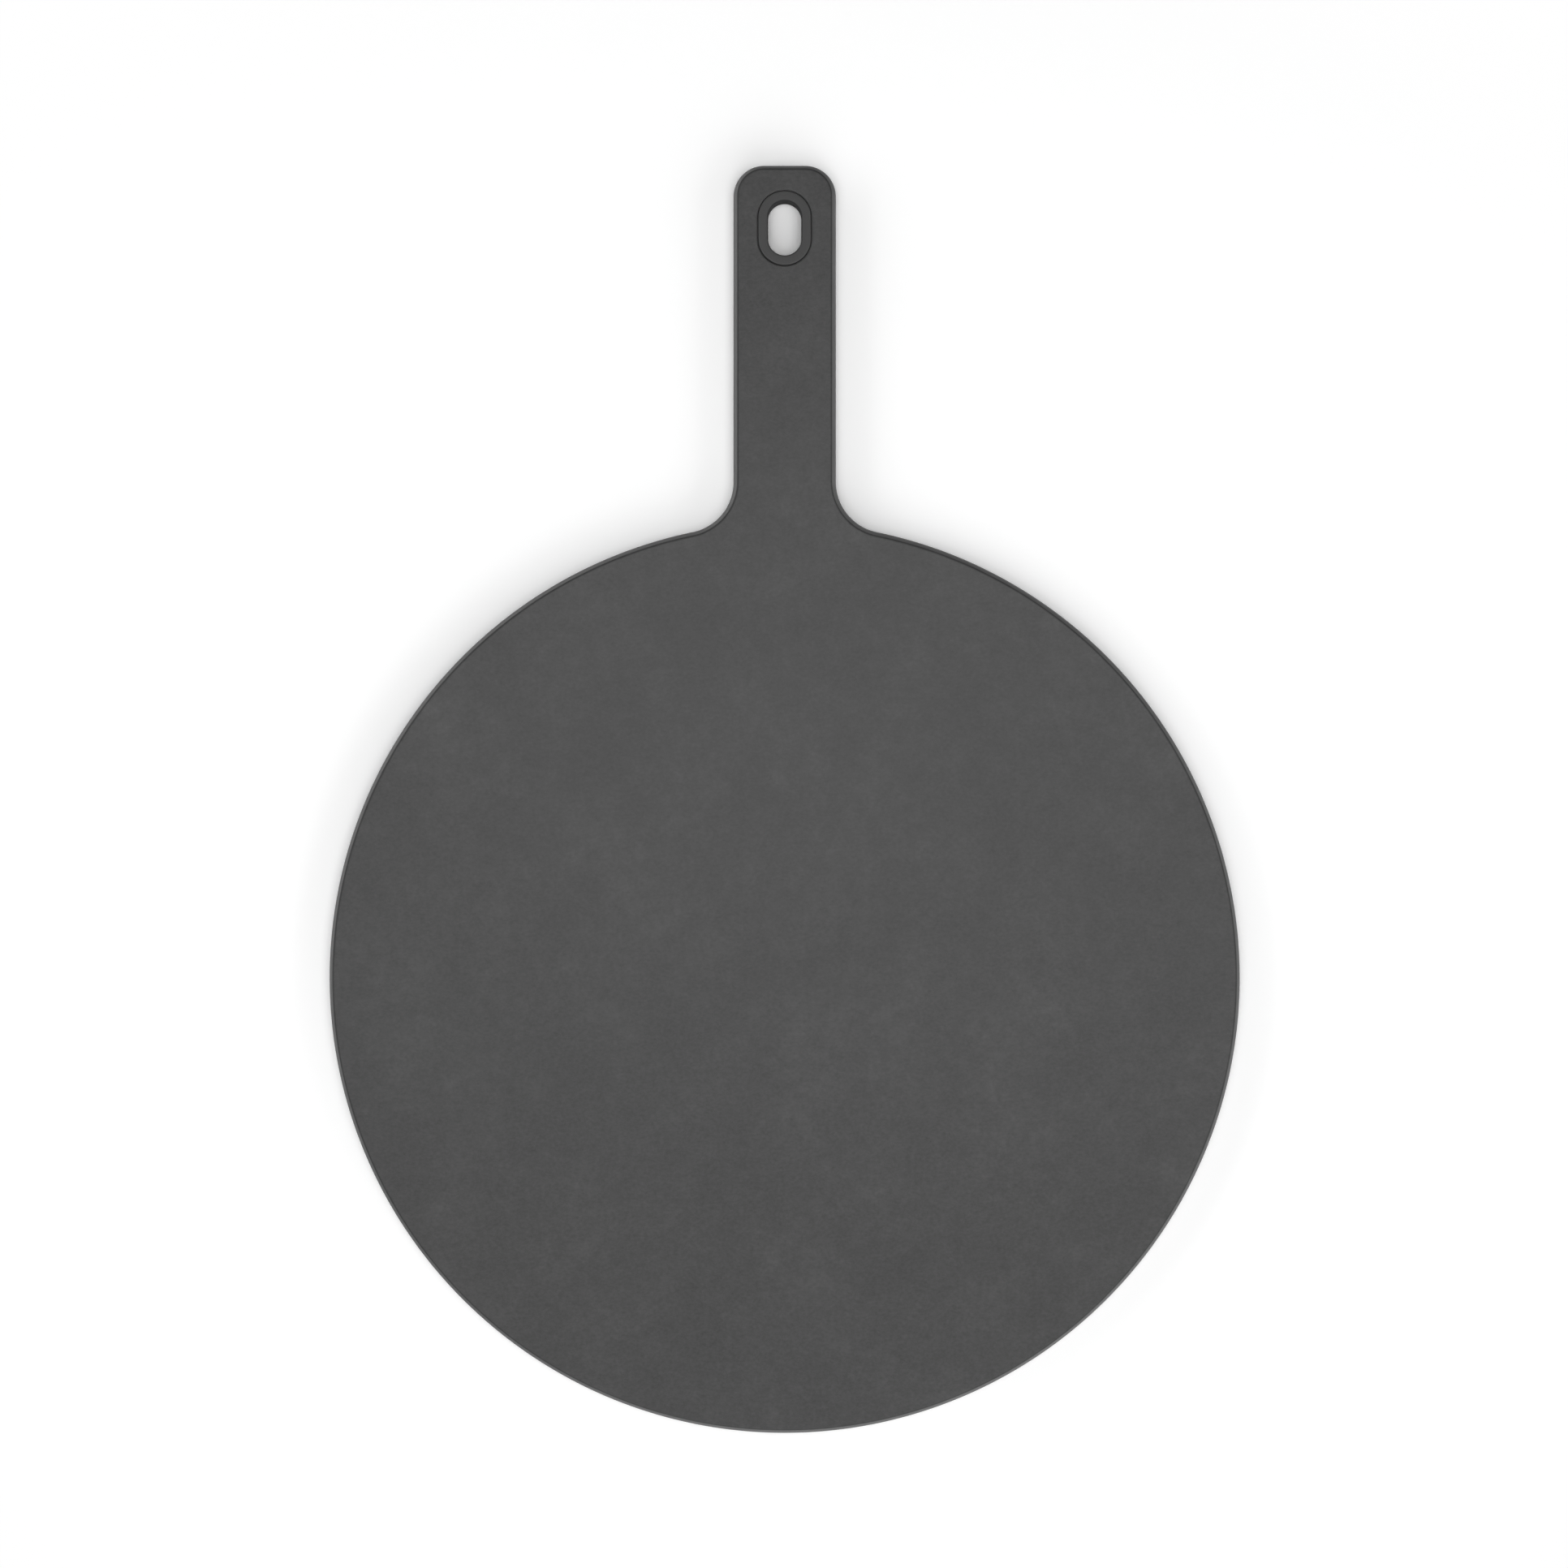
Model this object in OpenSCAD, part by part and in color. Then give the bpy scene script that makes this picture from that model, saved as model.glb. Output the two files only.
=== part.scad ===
// Round serving board with a paddle handle and a soft grommet in its hanging slot.
// A pressed fibre core carries a thin face sheet on each side, and both rims of the stack
// are rounded over. The grommet is a moulded ring that grips a web left in the core, with
// one flange let in flush on each face, so the board serves and rests on either side.
// The origin is the centre of the disc on the underside. +Y runs to the end of the handle
// and +Z points up through the serving face. All sizes are in millimetres.

/* [Board] */
// Diameter of the round serving area
disc_d = 355.6; // [240:0.1:420]
// Length over all, from the far edge of the disc to the end of the handle
board_len = 495; // [430:1:640]
// Thickness of the finished board
board_t = 6.35; // [5.6:0.05:12]
// Thickness of each face sheet
sheet_t = 0.2; // [0.15:0.05:0.5]
// Radius of the round-over along both rims
rim_r = 2.5; // [1:0.1:2.7]

/* [Handle] */
// Width of the handle
handle_w = 40; // [34:1:60]
// Radius of the two corners at the end of the handle
handle_corner_r = 12; // [4:0.5:16.5]
// Radius of the fillets where the handle flows into the disc
neck_r = 20; // [8:1:45]

/* [Hanging slot] */
// Width of the open slot through the grommet
slot_w = 13; // [9:0.5:18]
// Length of the open slot through the grommet
slot_len = 21.3; // [18.5:0.1:34]
// Distance from the end of the handle to the middle of the slot
slot_inset = 24.7; // [20:0.1:40]

/* [Grommet] */
// Width of the flange that shows round the slot on each face
flange_w = 3.9; // [2.6:0.1:5.5]
// Thickness of each flange
flange_t = 1.9; // [1.5:0.1:2.6]
// Wall of the waist that joins the two flanges
waist_t = 1.4; // [1:0.1:2.2]
// Radius of the lip where the flange turns into the slot
slot_lip_r = 0.7; // [0.3:0.1:1]
// Radius of the lip along the outside of the flange
flange_lip_r = 0.7; // [0.3:0.1:1.4]
// Depth of the flange's face below the face of the board
flange_set_back = 0.05; // [0.02:0.01:0.2]

/* [Pocket in the board] */
// Radius that eases the mouth of each pocket
mouth_r = 0.7; // [0.3:0.1:1.4]
// Gap between the flange and the wall of its pocket
seam_gap = 0.1; // [0.05:0.05:0.4]
// Gap between the waist and the hole in the web
waist_gap = 0.1; // [0.05:0.05:0.3]

/* [Hidden] */
$fn = 160;

// How far a cut or an overlap runs past the surface that it crosses
overrun = 1;

// Colours of the pressed board and of the moulded ring
sheet_grey = [0.33, 0.33, 0.33];
core_grey = [0.41, 0.41, 0.41];
grommet_grey = [0.29, 0.29, 0.29];

// Places of the outline, worked out from the driving sizes
disc_r = disc_d / 2;
handle_end_y = board_len - disc_r;
handle_half_w = handle_w / 2;
corner_x = handle_half_w - handle_corner_r;
corner_y = handle_end_y - handle_corner_r;

// Each neck fillet touches the disc and one side of the handle
neck_x = handle_half_w + neck_r;
neck_y = sqrt((disc_r + neck_r) ^ 2 - neck_x ^ 2);

// The slot, its grommet and its pocket share one middle and one straight run
slot_y = handle_end_y - slot_inset;
slot_run = slot_len - slot_w;
slot_r = slot_w / 2;
waist_hole_r = slot_r + waist_t + waist_gap;
pocket_r = slot_r + flange_w + seam_gap;
pocket_depth = flange_set_back + flange_t;

// Waste outside a rounded corner that sits at the origin and points to +x and +y
module corner_waste(r) {
    difference() {
        translate([-r, -r]) square(r + overrun);
        translate([-r, -r]) circle(r);
    }
}

// Repeats a section for the underside, mirrored about the middle of the board's thickness
module both_faces() {
    children();
    translate([0, board_t]) mirror([0, 1]) children();
}

// Waste outside the two rounded rims of an edge at x = 0
module rim_waste() {
    both_faces() translate([0, board_t]) corner_waste(rim_r);
}

// Section of one layer, from x = 0 out to the board's edge at x = reach
module edge_section(reach, bottom_z, thickness) {
    difference() {
        translate([0, bottom_z]) square([reach, thickness]);
        translate([reach, 0]) rim_waste();
    }
}

// The round serving area
module disc(bottom_z, thickness) {
    rotate_extrude() edge_section(disc_r, bottom_z, thickness);
}

// The handle, which starts a little inside the necks and ends in two rounded corners
module handle(bottom_z, thickness) {
    for (side = [0, 1]) {
        mirror([side, 0, 0]) {
            translate([0, corner_y, 0])
                rotate([90, 0, 0]) linear_extrude(corner_y - neck_y + overrun)
                    edge_section(handle_half_w, bottom_z, thickness);
            translate([corner_x, corner_y, 0])
                rotate_extrude(angle = 90) edge_section(handle_corner_r, bottom_z, thickness);
        }
    }
    translate([-corner_x, corner_y, 0])
        rotate([90, 0, 90]) linear_extrude(2 * corner_x)
            edge_section(handle_corner_r, bottom_z, thickness);
}

// Goes to the centre of the right neck fillet. Its y is reached in three steps, from whole
// millimetres to the last fraction, so that no digit of it is rounded off on the way.
module at_neck() {
    whole = floor(neck_y);
    thousandths = floor((neck_y - whole) * 1000) / 1000;
    translate([neck_x, whole, 0]) translate([0, thousandths, 0])
        translate([0, neck_y - whole - thousandths, 0]) children();
}

// The two necks, cut from one wedge by the fillets and their rounded rims. The wedge's slanted
// sides pass through the points where the fillets touch the disc, and its top through those
// on the handle.
module necks(bottom_z, thickness) {
    difference() {
        translate([0, 0, bottom_z]) linear_extrude(thickness)
            polygon([[0, 0], [neck_x, neck_y], [-neck_x, neck_y]]);
        for (side = [0, 1]) {
            mirror([side, 0, 0]) at_neck() rotate_extrude() {
                translate([0, -overrun]) square([neck_r, board_t + 2 * overrun]);
                translate([neck_r, 0]) mirror([1, 0]) rim_waste();
            }
        }
    }
}

// Carries a section round a slot whose ends have radius r, with x pointing away from the slot
module along_slot(r) {
    for (turn = [0, 180]) {
        translate([0, slot_y, 0]) rotate([0, 0, turn]) {
            translate([0, slot_run / 2, 0])
                rotate_extrude(angle = 180) translate([r, 0]) children();
            translate([r, slot_run / 2, 0])
                rotate([90, 0, 0]) linear_extrude(slot_run) children();
        }
    }
}

// Flat shape of a slot whose ends have radius r
module slot_shape(r) {
    translate([0, slot_y]) {
        square([2 * r, slot_run], center = true);
        for (side = [-1, 1]) translate([0, side * slot_run / 2]) circle(r);
    }
}

// One layer of the stack, with the grommet's pockets sunk into it from both faces
module layer(bottom_z, thickness) {
    difference() {
        union() {
            disc(bottom_z, thickness);
            handle(bottom_z, thickness);
            necks(bottom_z, thickness);
        }
        along_slot(pocket_r)
            both_faces() translate([0, board_t]) mirror([1, 0]) corner_waste(mouth_r);
        translate([0, 0, board_t - pocket_depth])
            linear_extrude(pocket_depth + overrun) slot_shape(pocket_r);
        translate([0, 0, -overrun])
            linear_extrude(pocket_depth + overrun) slot_shape(pocket_r);
    }
}

// Section of the grommet, with x = 0 on the wall of the open slot
module grommet_section() {
    translate([0, flange_set_back]) square([waist_t, board_t - 2 * flange_set_back]);
    both_faces() translate([0, board_t - pocket_depth]) {
        difference() {
            square([flange_w, flange_t]);
            translate([flange_w, flange_t]) corner_waste(flange_lip_r);
        }
    }
}

// Thin sheet that faces the serving side
module front_face_sheet() {
    color(sheet_grey) layer(board_t - sheet_t, sheet_t);
}

// Pressed core, with the web that the grommet grips
module core() {
    color(core_grey) difference() {
        layer(sheet_t, board_t - 2 * sheet_t);
        linear_extrude(board_t) slot_shape(waist_hole_r);
    }
}

// Thin sheet that faces the table
module back_face_sheet() {
    color(sheet_grey) layer(0, sheet_t);
}

// Moulded ring that lines the hanging slot
module hanging_grommet() {
    color(grommet_grey) along_slot(slot_r) difference() {
        grommet_section();
        both_faces()
            translate([0, board_t - flange_set_back]) mirror([1, 0]) corner_waste(slot_lip_r);
    }
}

front_face_sheet();
core();
back_face_sheet();
hanging_grommet();
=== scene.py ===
# %% [markdown]
# # A round serving board with a paddle handle
#
# This board is a sheet of pressed wood fibre and resin, about as thick as a pencil. A thin
# face sheet lies on each side of a slightly paler core, the rims are rounded over with a
# cutter, and a soft moulded grommet lines the slot that it hangs by. Four pieces in all.
#
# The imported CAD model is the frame: it says where each piece lies and how large it is. The
# pieces made here take the place of its nodes, with finer curves and a finish of their own.

from math import acos, atan2, cos, degrees, pi, radians, sin, sqrt

import bmesh
import bpy
from mathutils import Matrix, Vector


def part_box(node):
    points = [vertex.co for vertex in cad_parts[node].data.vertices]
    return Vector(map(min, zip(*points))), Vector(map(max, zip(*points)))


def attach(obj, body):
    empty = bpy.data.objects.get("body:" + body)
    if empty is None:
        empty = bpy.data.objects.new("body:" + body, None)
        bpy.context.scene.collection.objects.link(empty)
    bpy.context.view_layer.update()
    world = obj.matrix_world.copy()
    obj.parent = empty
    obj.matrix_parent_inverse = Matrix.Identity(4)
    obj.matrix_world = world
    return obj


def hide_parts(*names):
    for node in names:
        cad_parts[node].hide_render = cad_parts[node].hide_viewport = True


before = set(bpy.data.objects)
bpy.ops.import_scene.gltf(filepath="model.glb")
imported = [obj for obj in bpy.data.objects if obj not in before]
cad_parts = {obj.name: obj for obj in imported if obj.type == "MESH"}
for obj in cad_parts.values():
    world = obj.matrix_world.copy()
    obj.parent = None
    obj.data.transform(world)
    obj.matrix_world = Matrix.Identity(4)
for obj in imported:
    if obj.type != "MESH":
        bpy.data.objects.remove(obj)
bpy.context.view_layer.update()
print("nodes:", sorted(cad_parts))

# %% [markdown]
# ## The camera
#
# The photograph looks straight down on the board, with the handle at the top of the frame.
# With the board taken to be a quarter of an inch thick, how much of the slot's far wall shows
# tells how high the camera stood: a little under nine tenths of a metre, almost above the
# middle of the board's whole length. A longer lens from higher up would frame the board
# alike, but would show less of that wall.

# %% Set up the camera
CAMERA_HEIGHT = 0.855
CAMERA_X = -0.00027
CAMERA_Y = 0.0757
LENS_MM = 50
SENSOR_MM = 36

lens = bpy.data.cameras.new("top_camera")
lens.lens = LENS_MM
lens.sensor_width = SENSOR_MM
camera = bpy.data.objects.new("top_camera", lens)
camera.location = (CAMERA_X, CAMERA_Y, CAMERA_HEIGHT)
bpy.context.scene.collection.objects.link(camera)
bpy.context.scene.camera = camera
print("camera at", tuple(camera.location))

# %% [markdown]
# ## The sizes
#
# The pieces have to lie exactly where the CAD solids lie, so the sizes here are the ones the
# board was drawn with. They are written in millimetres, as a maker would, and turned into
# metres once. Only the thickness is read from the frame.

# %% Name the sizes
MM = 0.001

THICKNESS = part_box("front_face_sheet")[1].z
SHEET = 0.2 * MM
RIM_R = 2.5 * MM

DISC_R = 177.8 * MM
HANDLE_END = 317.2 * MM
HANDLE_HALF = 20 * MM
CORNER_R = 12 * MM
NECK_R = 20 * MM

SLOT_Y = 292.5 * MM
SLOT_R = 6.5 * MM
SLOT_RUN = 8.3 * MM

FLANGE_W = 3.9 * MM
FLANGE_T = 1.9 * MM
WAIST_T = 1.4 * MM
SET_BACK = 0.05 * MM
SLOT_LIP_R = 0.7 * MM
FLANGE_LIP_R = 0.7 * MM
CROWN = 0.03 * MM
MOUTH_R = 0.7 * MM
SEAM_GAP = 0.1 * MM
WAIST_GAP = 0.1 * MM
POCKET_R = SLOT_R + FLANGE_W + SEAM_GAP
POCKET_DEPTH = SET_BACK + FLANGE_T
WEB_R = SLOT_R + WAIST_T + WAIST_GAP
print("thickness in mm:", round(THICKNESS / MM, 3))

# %% [markdown]
# ## A pen and a carriage
#
# Every piece of this board is a section carried round a track, just as a router bit is run
# round a template. So two helpers make them all. The pen draws a section: a chain of
# vertices, with straight strokes made by extruding the last vertex and bends made by
# spinning it. The carriage then takes the whole section along a track of turns and runs,
# again by spinning and extruding. A bevel on a flat plate would round the rims too, but it
# would not stop where one sheet ends and the next begins.

# %% Draw a section
def draw(bm, start, strokes):
    """Draws a chain in the XZ plane. A stroke is (dx, dz), or (x, z, degrees, steps)
    for a bend about a centre, counted from +X towards +Z."""
    drawn = set(bm.verts)
    pen = bmesh.ops.create_vert(bm, co=(start[0], 0, start[1]))["vert"][0]
    for stroke in strokes:
        if len(stroke) == 2:
            pen = bmesh.ops.extrude_vert_indiv(bm, verts=[pen])["verts"][0]
            bmesh.ops.translate(bm, verts=[pen], vec=(stroke[0], 0, stroke[1]))
        else:
            x, z, angle, steps = stroke
            pen = bmesh.ops.spin(
                bm, geom=[pen], cent=(x, 0, z), axis=(0, -1, 0),
                angle=radians(angle), steps=steps)["geom_last"][0]
    verts = [v for v in bm.verts if v not in drawn]
    return verts + list({e for v in verts for e in v.link_edges})


# %% Carry it along a track
def carry(bm, section, track):
    """Carries a section along turns (x, y, degrees, steps) and runs (dx, dy)."""
    for leg in track:
        if len(leg) == 2:
            edges = [g for g in section if isinstance(g, bmesh.types.BMEdge)]
            made = bmesh.ops.extrude_edge_only(bm, edges=edges)["geom"]
            verts = [g for g in made if isinstance(g, bmesh.types.BMVert)]
            bmesh.ops.translate(bm, verts=verts, vec=(*leg, 0))
            moved = set(verts)
            section = verts + [g for g in made if isinstance(g, bmesh.types.BMEdge)
                               and set(g.verts) <= moved]
        else:
            x, y, angle, steps = leg
            section = bmesh.ops.spin(
                bm, geom=section, cent=(x, y, 0), axis=(0, 0, 1),
                angle=radians(angle), steps=steps)["geom_last"]


# %% [markdown]
# ## The two tracks
#
# The first track is the board's outline, from the far edge of the disc to the middle of the
# handle's end: round the disc, back through the neck, up the handle and round its corner.
# The other half is its mirror image. Where the neck's fillet touches the disc follows from
# the two radii, as the centres and the touching point lie on one line. The second track
# runs round the slot: two half turns joined by two short runs.

# %% Lay out the tracks
NECK_X = HANDLE_HALF + NECK_R
NECK_Y = sqrt((DISC_R + NECK_R) ** 2 - NECK_X ** 2)
NECK_TURN = degrees(atan2(NECK_Y, NECK_X))
CORNER_X = HANDLE_HALF - CORNER_R
CORNER_Y = HANDLE_END - CORNER_R

DISC_STEPS = 252
FILLET_STEPS = 28
HALF_OUTLINE = [
    (0, 0, 90 + NECK_TURN, DISC_STEPS),
    (NECK_X, NECK_Y, -NECK_TURN, FILLET_STEPS),
    (0, CORNER_Y - NECK_Y),
    (CORNER_X, CORNER_Y, 90, FILLET_STEPS),
    (-CORNER_X, 0),
]
SLOT_TOP = SLOT_Y + SLOT_RUN / 2
SLOT_BOTTOM = SLOT_Y - SLOT_RUN / 2
SLOT_STEPS = 56
ROUND_SLOT = [
    (0, SLOT_TOP, 180, SLOT_STEPS),
    (0, -SLOT_RUN),
    (0, SLOT_BOTTOM, 180, SLOT_STEPS),
    (0, SLOT_RUN),
]
MIRROR_MERGE = 0.001 * MM


def along_outline(bm, section):
    """Carries a section round the whole outline. It is drawn with +X pointing outwards."""
    verts = [g for g in section if isinstance(g, bmesh.types.BMVert)]
    bmesh.ops.rotate(bm, verts=verts, matrix=Matrix.Rotation(-pi / 2, 3, "Z"))
    carry(bm, section, HALF_OUTLINE)
    bmesh.ops.mirror(bm, geom=bm.verts[:] + bm.edges[:] + bm.faces[:],
                     axis="X", merge_dist=MIRROR_MERGE)


def along_slot(bm, section):
    """Carries a section round the slot. It is drawn with +X pointing away from the slot."""
    verts = [g for g in section if isinstance(g, bmesh.types.BMVert)]
    bmesh.ops.translate(bm, verts=verts, vec=(0, SLOT_TOP, 0))
    carry(bm, section, ROUND_SLOT)


print("neck touches the disc at", round(NECK_TURN, 2), "degrees")

# %% [markdown]
# ## From walls to a closed piece
#
# A swept section is only a wall. The flat faces between the outer wall and the slot's wall
# are filled from the two rings of open edges at one height. Then every piece goes through
# the same steps: weld, turn the normals outwards, mark real corners as sharp, and let the
# broad faces rule the shading, so that a flat face stays flat right up to its rounded rim.

# %% Close a piece and attach it
SHARP = radians(40)
WELD = 0.005 * MM


def fill_level(bm, z):
    """Fills the flat face between the open edges that lie at height z."""
    rim = [e for e in bm.edges
           if len(e.link_faces) < 2 and all(abs(v.co.z - z) < WELD for v in e.verts)]
    bmesh.ops.triangle_fill(bm, use_beauty=True, use_dissolve=False, edges=rim)


def make_piece(bm, name, node):
    """Turns a bmesh into a piece that stands for a CAD node."""
    bmesh.ops.remove_doubles(bm, verts=bm.verts[:], dist=WELD)
    bmesh.ops.recalc_face_normals(bm, faces=bm.faces[:])
    for face in bm.faces:
        face.smooth = True
    for edge in bm.edges:
        edge.smooth = edge.calc_face_angle(0) < SHARP
    open_edges = sum(len(e.link_faces) != 2 for e in bm.edges)
    mesh = bpy.data.meshes.new(name)
    bm.to_mesh(mesh)
    bm.free()
    piece = bpy.data.objects.new(name, mesh)
    bpy.context.scene.collection.objects.link(piece)
    shading = piece.modifiers.new("broad_faces_rule", "WEIGHTED_NORMAL")
    shading.keep_sharp = True
    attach(piece, "root")
    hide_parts(node)
    print(f"{name}: {len(mesh.polygons)} faces, {open_edges} open edges")
    return piece


# %% [markdown]
# ## The two face sheets
#
# Each face is a sheet of resin-soaked paper, a fifth of a millimetre thick. The cutter that
# rounds the rim slices through it at a slant, so its edge thins out like a feather. That
# slanted edge is drawn as the first part of the rim's arc, down to the sheet's own depth,
# and the mouth of the grommet's pocket cuts it in the same way. The sheet on the underside
# is the same piece, mirrored about the middle of the board.

# %% Make the face sheets
RIM_X = DISC_R - RIM_R
RIM_TILT = degrees(acos(1 - SHEET / RIM_R))
MOUTH_X = POCKET_R + MOUTH_R
MOUTH_TILT = degrees(acos(1 - SHEET / MOUTH_R))
FEATHER_STEPS = 6


def face_sheet(name, node, underside):
    """Makes a sheet on the serving side, and mirrors it down if it is for the underside."""
    bm = bmesh.new()
    rim = draw(bm, (RIM_X, THICKNESS), [
        (RIM_X, THICKNESS - RIM_R, -RIM_TILT, FEATHER_STEPS)])
    along_outline(bm, rim)
    mouth = draw(bm, (MOUTH_X, THICKNESS), [
        (MOUTH_X, THICKNESS - MOUTH_R, MOUTH_TILT, FEATHER_STEPS)])
    along_slot(bm, mouth)
    bmesh.ops.remove_doubles(bm, verts=bm.verts[:], dist=WELD)
    fill_level(bm, THICKNESS)
    fill_level(bm, THICKNESS - SHEET)
    if underside:
        bmesh.ops.scale(bm, verts=bm.verts[:], vec=(1, 1, -1))
        bmesh.ops.translate(bm, verts=bm.verts[:], vec=(0, 0, THICKNESS))
    return make_piece(bm, name, node)


serving_sheet = face_sheet("serving_sheet", "front_face_sheet", underside=False)
resting_sheet = face_sheet("resting_sheet", "back_face_sheet", underside=True)

# %% [markdown]
# ## The pressed core
#
# The core takes up the rim's arc where the sheet leaves it, runs down the straight wall and
# mirrors the arc below. At the slot its wall follows the pocket: down to the web that the
# grommet grips, inwards over the web, through the hole and out again on the other side.

# %% Make the core
RIM_STEPS = 14
MOUTH_STEPS = 8


def on_arc(x, radius, tilt):
    """The point of a rounded top edge where it has tilted by so many degrees."""
    return (x + radius * sin(radians(tilt)), THICKNESS - radius + radius * cos(radians(tilt)))


def core_walls(bm):
    """Makes the core's rim and its pocket wall, each drawn from top to bottom."""
    rim = draw(bm, on_arc(RIM_X, RIM_R, RIM_TILT), [
        (RIM_X, THICKNESS - RIM_R, RIM_TILT - 90, RIM_STEPS),
        (0, 2 * RIM_R - THICKNESS),
        (RIM_X, RIM_R, RIM_TILT - 90, RIM_STEPS),
    ])
    along_outline(bm, rim)
    web = THICKNESS - 2 * POCKET_DEPTH
    pocket = draw(bm, on_arc(MOUTH_X, MOUTH_R, -MOUTH_TILT), [
        (MOUTH_X, THICKNESS - MOUTH_R, 90 - MOUTH_TILT, MOUTH_STEPS),
        (0, MOUTH_R - POCKET_DEPTH),
        (WEB_R - POCKET_R, 0),
        (0, -web),
        (POCKET_R - WEB_R, 0),
        (0, MOUTH_R - POCKET_DEPTH),
        (MOUTH_X, MOUTH_R, 90 - MOUTH_TILT, MOUTH_STEPS),
    ])
    along_slot(bm, pocket)


bm = bmesh.new()
core_walls(bm)
bmesh.ops.remove_doubles(bm, verts=bm.verts[:], dist=WELD)
fill_level(bm, THICKNESS - SHEET)
fill_level(bm, SHEET)
pressed_core = make_piece(bm, "pressed_core", "core")

# %% [markdown]
# ## The grommet
#
# The grommet is moulded as one soft ring with an H-shaped section: a flange on each face and
# a waist between them that fills the hole in the web. Its flanges are slightly crowned, so
# they catch the light as a soft gradient rather than a flat grey, and their lips are rounded
# towards the slot and towards the seam. The section is closed, so it needs no filling.

# %% Make the grommet
CROWN_STEPS = 8
SLOT_LIP_STEPS = 8
FLANGE_LIP_STEPS = 10


def crowned(x0, x1, z, rise):
    """A shallow bend from x0 to x1 at height z. Its middle rises, or sinks if rise < 0."""
    half = abs(x1 - x0) / 2
    radius = (half ** 2 + rise ** 2) / (2 * abs(rise))
    sweep = 2 * degrees(atan2(half, radius - abs(rise)))
    above = 1 if rise > 0 else -1
    turn = -sweep if (x1 > x0) == (rise > 0) else sweep
    return ((x0 + x1) / 2, z - above * (radius - abs(rise)), turn, CROWN_STEPS)


top = THICKNESS - SET_BACK
outer = SLOT_R + FLANGE_W
lip_x = SLOT_R + SLOT_LIP_R
edge_x = outer - FLANGE_LIP_R
under = THICKNESS - POCKET_DEPTH
bm = bmesh.new()
draw(bm, (SLOT_R, top - SLOT_LIP_R), [
    (lip_x, top - SLOT_LIP_R, -90, SLOT_LIP_STEPS),
    crowned(lip_x, edge_x, top, CROWN),
    (edge_x, top - FLANGE_LIP_R, -90, FLANGE_LIP_STEPS),
    (0, FLANGE_LIP_R - FLANGE_T),
    (WAIST_T - FLANGE_W, 0),
    (0, POCKET_DEPTH - under),
    (FLANGE_W - WAIST_T, 0),
    (0, FLANGE_LIP_R - FLANGE_T),
    (edge_x, SET_BACK + FLANGE_LIP_R, -90, FLANGE_LIP_STEPS),
    crowned(edge_x, lip_x, SET_BACK, -CROWN),
    (lip_x, SET_BACK + SLOT_LIP_R, -90, SLOT_LIP_STEPS),
    (0, top - SLOT_LIP_R - SET_BACK - SLOT_LIP_R),
])
bmesh.ops.remove_doubles(bm, verts=bm.verts[:], dist=WELD)
along_slot(bm, bm.verts[:] + bm.edges[:])
slot_grommet = make_piece(bm, "slot_grommet", "hanging_grommet")

# %% [markdown]
# ## Wires
#
# A shader is a sum over noises and masks. Written as nodes it is hard to read, so a small
# class wraps one socket and lets Python's own signs add the Math nodes: 1 - mask is then a
# line of maths. Any other node comes from its add method, which sets the node's settings
# first and its sockets after them.

# %% Wrap a socket
class Wire:
    """An output socket of a shader tree that takes part in Python sums."""

    def __init__(self, tree, socket=None):
        self.tree, self.socket = tree, socket

    def add(self, kind, settings=None, sockets=None, output=0):
        node = self.tree.nodes.new(kind)
        for name, value in (settings or {}).items():
            setattr(node, name, value)
        for name, value in (sockets or {}).items():
            if isinstance(value, Wire):
                self.tree.links.new(value.socket, node.inputs[name])
            else:
                node.inputs[name].default_value = value
        return Wire(self.tree, node.outputs[output])

    def maths(self, operation, left, right):
        return self.add("ShaderNodeMath", {"operation": operation}, {0: left, 1: right})

    def __add__(self, other):
        return self.maths("ADD", self, other)

    def __sub__(self, other):
        return self.maths("SUBTRACT", self, other)

    def __rsub__(self, other):
        return self.maths("SUBTRACT", other, self)

    def __mul__(self, other):
        return self.maths("MULTIPLY", self, other)

    __radd__ = __add__
    __rmul__ = __mul__


def new_finish(name, constants):
    """An empty material: its tree's wire, and the shader that the wires end in."""
    material = bpy.data.materials.new(name)
    material.use_nodes = True
    shader = material.node_tree.nodes["Principled BSDF"]
    for socket, value in constants.items():
        shader.inputs[socket].default_value = value
    return material, Wire(material.node_tree), shader


def grey(wire, value):
    """A grey colour from a value."""
    return wire.add("ShaderNodeCombineColor", None, {0: value, 1: value, 2: value})


def noise(wire, place, scale, detail, roughness):
    return wire.add("ShaderNodeTexNoise", None, {
        "Vector": place, "Scale": scale, "Detail": detail, "Roughness": roughness})


def plug(wire, shader, sockets):
    for name, source in sockets.items():
        wire.tree.links.new(source.socket, shader.inputs[name])


# %% Measure from the slot
def fade(wire, value, start, end):
    """Goes softly from 0 at start to 1 at end."""
    return wire.add("ShaderNodeMapRange", {"interpolation_type": "SMOOTHSTEP"}, {
        "Value": value, "From Min": start, "From Max": end})


def coordinate(wire, place, axis):
    return wire.add("ShaderNodeSeparateXYZ", None, {"Vector": place}, output=axis)


def slot_distance(wire, place):
    """How far a point lies from the slot's middle line."""
    across = coordinate(wire, place, "X")
    along = wire.maths("ABSOLUTE", coordinate(wire, place, "Y") - SLOT_Y, 0)
    beyond = wire.maths("MAXIMUM", along - SLOT_RUN / 2, 0)
    return wire.maths("SQRT", across * across + beyond * beyond, 0)
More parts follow.
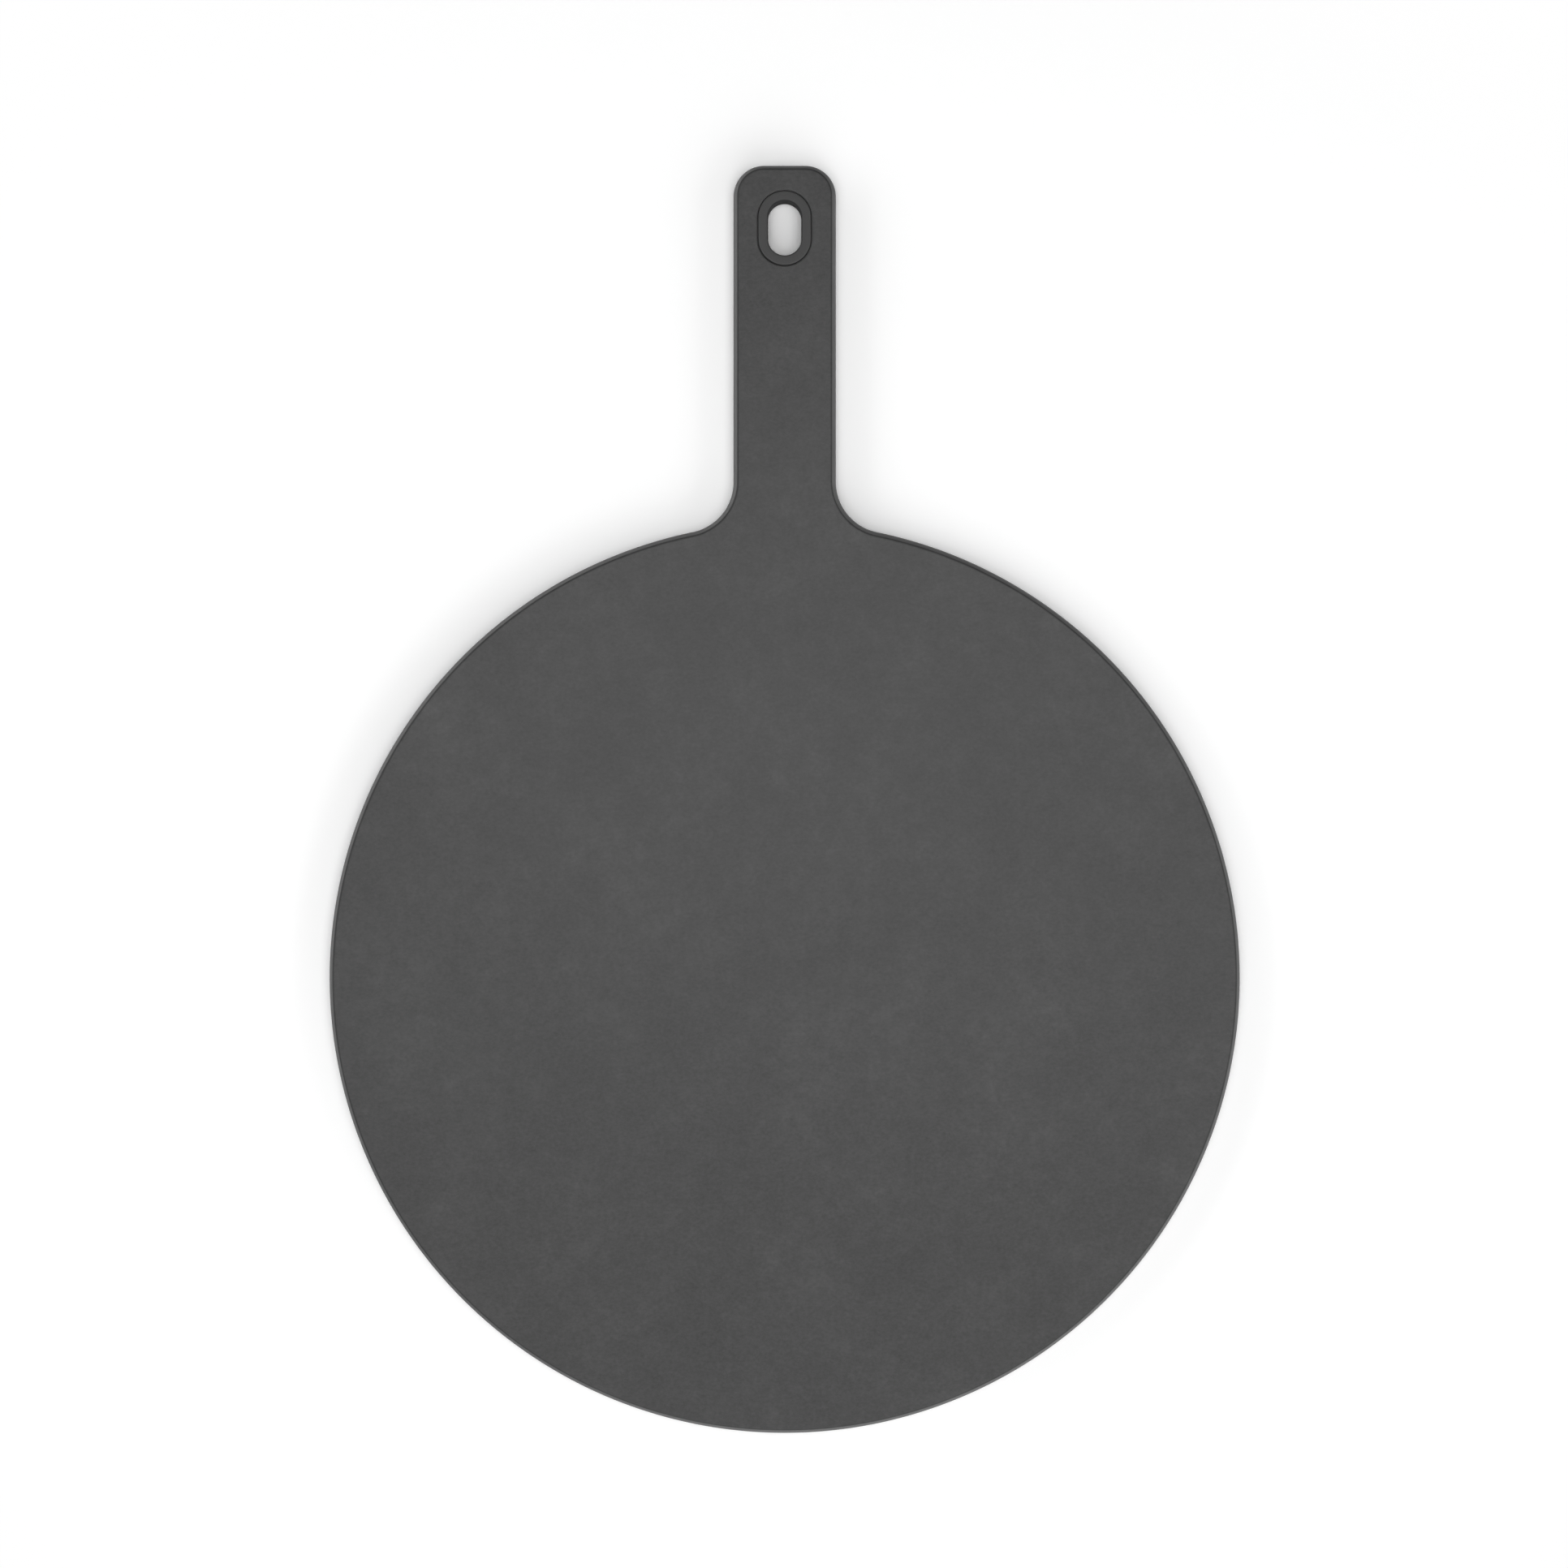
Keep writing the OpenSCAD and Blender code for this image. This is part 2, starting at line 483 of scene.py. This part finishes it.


# %% [markdown]
# ## The face laminate
#
# The faces are paper soaked in dark resin, pressed flat and sanded matt. The resin takes
# unevenly, so the grey is cloudy at every scale from a hand's breadth down to a pinhead, with
# the pale patches a little stronger than the dark ones: a noise with equal octaves, raised to
# a power, gives that. Fibre ends show as short flecks that lie across the board. Where the
# sheet thins out at the rim, its colour is darkened as a painted shade, which draws the dark
# crease line that the rounding shows. The surface has the fine tooth that sandpaper leaves,
# so its reflections are broad and soft.

# %% Finish the faces
FACE_GREY = 0.042
FACE_ROUGHNESS = 0.47
CLOUD_CONTRAST = 0.2
FLECK_CONTRAST = 1.1
FLECK_STRETCH = (0.75, 1, 1)
# The next three numbers paint shade into the sheet's thinned rim: the depths where it begins
# and is full, and how much darker it gets.
CREASE_SHADE_FROM = 0.02 * MM
CREASE_SHADE_TO = 0.06 * MM
CREASE_SHADE_DARKER = 0.45
BUMP_DEPTH = 0.02 * MM

face, w, shader = new_finish("face_laminate", {"IOR": 1.5})
place = w.add("ShaderNodeTexCoord", output="Object")
flecks_at = w.add("ShaderNodeMapping", None, {"Vector": place, "Scale": FLECK_STRETCH})
clouds = noise(w, place, scale=16, detail=5, roughness=1)
patches = w.maths("POWER", clouds * 2, 3)
flecks = noise(w, flecks_at, scale=900, detail=3, roughness=0.8)
tooth = noise(w, place, scale=2600, detail=2, roughness=0.5)
depth = w.maths("ABSOLUTE", coordinate(w, place, "Z") - THICKNESS / 2, 0)
# Painted shade: the face sheet's thinned rim is darkened to draw the crease line.
edge = fade(w, depth, THICKNESS / 2 - CREASE_SHADE_FROM, THICKNESS / 2 - CREASE_SHADE_TO)
tone = 1 + (patches - 1) * CLOUD_CONTRAST + (flecks - 0.5) * FLECK_CONTRAST
plug(w, shader, {
    "Base Color": grey(w, tone * (1 - edge * CREASE_SHADE_DARKER) * FACE_GREY),
    "Roughness": FACE_ROUGHNESS + (flecks - 0.5) * 0.1 + edge * 0.12,
    "Normal": w.add("ShaderNodeBump", None, {
        "Height": tooth + flecks * 0.6, "Strength": 0.25, "Distance": BUMP_DEPTH}),
})
serving_sheet.data.materials.append(face)
resting_sheet.data.materials.append(face)
print("face laminate:", len(face.node_tree.nodes), "nodes")

# %% [markdown]
# ## The core laminate
#
# The core shows only where a cutter went: round both rims and in the pocket. It is the same
# stock with less resin, so it is paler and a touch rougher. Its plies lie flat, and the
# straight wall cuts across them: a noise that is squeezed forty times in height draws them
# as thin, broken lines. Round the grommet, in the pocket and the seam, its colour is darkened
# as a painted shade, though it stays a little paler than the face.

# %% Finish the core
CORE_GREY = 0.081
CORE_ROUGHNESS = 0.5
PLY_SQUEEZE = 40
PLY_CONTRAST = 0.4
GRAIN_CONTRAST = 0.15
# The next two numbers paint shade into the pocket: how dark it is, and how far past the
# pocket's mouth it fades out.
POCKET_SHADE = 0.7
POCKET_SHADE_WIDTH = 1 * MM

core, w, shader = new_finish("core_laminate", {"IOR": 1.5})
place = w.add("ShaderNodeTexCoord", output="Object")
plies_at = w.add("ShaderNodeMapping", None, {"Vector": place, "Scale": (1, 1, PLY_SQUEEZE)})
plies = noise(w, plies_at, scale=70, detail=4, roughness=0.6)
grain = noise(w, place, scale=1500, detail=3, roughness=0.6)
# Painted shade: the core is darker in the pocket and the seam, fading out past the mouth.
outside_pocket_shade = fade(w, slot_distance(w, place), MOUTH_X, MOUTH_X + POCKET_SHADE_WIDTH)
shade = POCKET_SHADE + outside_pocket_shade * (1 - POCKET_SHADE)
tone = 1 + (plies - 0.5) * PLY_CONTRAST + (grain - 0.5) * GRAIN_CONTRAST
plug(w, shader, {
    "Base Color": grey(w, tone * shade * CORE_GREY),
    "Roughness": CORE_ROUGHNESS + (grain - 0.5) * 0.1,
    "Normal": w.add("ShaderNodeBump", None, {
        "Height": grain + plies, "Strength": 0.3, "Distance": BUMP_DEPTH}),
})
pressed_core.data.materials.append(core)
print("core laminate:", len(core.node_tree.nodes), "nodes")

# %% [markdown]
# ## The moulded grommet
#
# The grommet is soft rubber from a spark-eroded mould, which leaves an even, fine grain and
# no shine. Handling has left a faint grey bloom on its flanges, a slow noise. The bore inside
# is darkened nearly to black as a painted shade, by its distance from the slot's middle line.

# %% Finish the grommet
GROMMET_GREY = 0.047
BLOOM_CONTRAST = 0.15
BORE_SHADE = 0.15
BORE_ROUGHNESS = 0.85
# The bore's painted shade fades out between these two distances from the slot's middle line.
BORE_SHADE_FROM = SLOT_R + 0.1 * MM
BORE_SHADE_TO = SLOT_R + 0.6 * MM

rubber, w, shader = new_finish("grommet_rubber", {"IOR": 1.5})
place = w.add("ShaderNodeTexCoord", output="Object")
bloom = noise(w, place, scale=120, detail=4, roughness=0.6)
grain = noise(w, place, scale=3000, detail=2, roughness=0.5)
# Painted shade: the bore is darkened nearly to black, fading out just past the slot's lip.
past_bore_shade = fade(w, slot_distance(w, place), BORE_SHADE_FROM, BORE_SHADE_TO)
shade = BORE_SHADE + past_bore_shade * (1 - BORE_SHADE)
tone = 1 + (bloom - 0.5) * BLOOM_CONTRAST
plug(w, shader, {
    "Base Color": grey(w, tone * shade * GROMMET_GREY),
    "Roughness": BORE_ROUGHNESS - past_bore_shade * 0.15 + (bloom - 0.5) * 0.1,
    "Normal": w.add("ShaderNodeBump", None, {
        "Height": grain, "Strength": 0.2, "Distance": BUMP_DEPTH}),
})
slot_grommet.data.materials.append(rubber)
print("grommet rubber:", len(rubber.node_tree.nodes), "nodes")

# %% [markdown]
# ## The floor
#
# The board lies on a sheet of white paper. A studio burns such paper out to pure white in
# the picture, yet keeps the shadow round the object. More light would do that, but it would
# also bleach the board. So the paper only looks brighter to the camera: its colour is read
# through Light Path, and the light that it throws back on the board is that of plain paper.
# The lamps light only the middle of it, so beyond the reach of the board's shadow it turns to
# pure white for the camera. Nothing on the board is of metal or glass, so its reflections
# need no such help.

# %% Lay the floor
PAPER_GREY = 0.8
PAPER_GREY_TO_CAMERA = 1.08
SHADOW_REACH = 0.29
WHITE_FROM = 1.5 * SHADOW_REACH
FLOOR_SIZE = 6

bm = bmesh.new()
bmesh.ops.create_grid(bm, x_segments=1, y_segments=1, size=FLOOR_SIZE)
mesh = bpy.data.meshes.new("floor")
bm.to_mesh(mesh)
bm.free()
floor = bpy.data.objects.new("floor", mesh)
bpy.context.scene.collection.objects.link(floor)

paper = bpy.data.materials.new("white_paper")
paper.use_nodes = True
tree = paper.node_tree
tree.nodes.remove(tree.nodes["Principled BSDF"])
w = Wire(tree)
to_camera = w.add("ShaderNodeLightPath", output="Is Camera Ray")
matt = w.add("ShaderNodeBsdfDiffuse", None, {
    "Color": grey(w, PAPER_GREY + to_camera * (PAPER_GREY_TO_CAMERA - PAPER_GREY))})
white = w.add("ShaderNodeEmission", None, {"Strength": 1})
place = w.add("ShaderNodeTexCoord", output="Object")
away = w.add("ShaderNodeVectorMath", {"operation": "DISTANCE"}, {
    0: place, 1: (0, CAMERA_Y, 0)}, output="Value")
beyond = fade(w, away, SHADOW_REACH, WHITE_FROM)
seen = w.add("ShaderNodeMixShader", None, {0: to_camera * beyond, 1: matt, 2: white})
tree.links.new(seen.socket, tree.nodes["Material Output"].inputs["Surface"])
floor.data.materials.append(paper)

# %% [markdown]
# ## The lights
#
# The face of the board is darkest at both ends and brightest under the camera. That is the
# mark of a softbox overhead, seen as a blurred reflection that fades where the mirrored view
# leaves it. The rim mirrors what stands lower: its band is bright all round but at the far
# end of the handle, and the shadow falls that way too. So five softboxes stand low round the
# board, with none at the far end. Inside the slot the paper darkens towards the disc, because
# the slot's wall keeps out light from higher up on that side. So one softbox at middle height
# and two high ones hang there, and a fourth hangs high on the right. These nine stand far off
# and are large, which keeps the light even over the sheet of paper while the shadow's edge
# stays soft.

# %% Hang the lamps
LAMP_DISTANCE = 2.8
LAMP_WIDTH = 2.5
LAMP_HEIGHT = 0.85
LIT_SPOT = Vector((0, CAMERA_Y, 0))
OVERHEAD_PLACE = Vector((0, 0.12, 1.6))


def softbox(name, place, width, height, brightness):
    """A rectangular lamp that faces the board. Brightness 1 is that of white paper."""
    light = bpy.data.lights.new(name, "AREA")
    light.shape, light.size, light.size_y = "RECTANGLE", width, height
    light.energy = brightness * pi * width * height
    lamp = bpy.data.objects.new(name, light)
    lamp.location = LIT_SPOT + place
    lamp.rotation_euler = (-place).to_track_quat("-Z", "Y").to_euler()
    lamp.visible_camera = False
    bpy.context.scene.collection.objects.link(lamp)


softbox("overhead", OVERHEAD_PLACE, width=1.3, height=0.8, brightness=2.7)
for name, around, above, brightness in [
        ("far_left_low", 135, 15, 3.6),
        ("left_low", 180, 15, 4),
        ("near_low", -90, 15, 3.5),
        ("near_right_low", -45, 15, 3.9),
        ("right_low", 0, 15, 3.1),
        ("near_middle", -90, 35, 2),
        ("near_left_high", -135, 58, 1.6),
        ("near_right_high", -45, 58, 1.2),
        ("right_high", 0, 58, 1)]:
    turned = Matrix.Rotation(radians(around), 3, "Z") @ Matrix.Rotation(-radians(above), 3, "Y")
    place = turned @ Vector((LAMP_DISTANCE, 0, 0))
    softbox(name, place, LAMP_WIDTH, LAMP_HEIGHT, brightness)

# %% [markdown]
# ## The surroundings
#
# Beyond the paper the camera sees white as well, so the horizon doesn't show from the side.
# The board sees a dark room there. A white room would shine into the rim from every side and
# wash out the fine dark line where the face sheet ends. The Standard view shows the light as
# it is, without a film curve that would grey the paper.

# %% Fill the room
world = bpy.data.worlds.new("studio")
bpy.context.scene.world = world
world.use_nodes = True
w = Wire(world.node_tree)
to_camera = w.add("ShaderNodeLightPath", output="Is Camera Ray")
background = world.node_tree.nodes["Background"]
background.inputs["Color"].default_value = (1, 1, 1, 1)
w.tree.links.new(to_camera.socket, background.inputs["Strength"])

bpy.context.scene.view_settings.view_transform = "Standard"
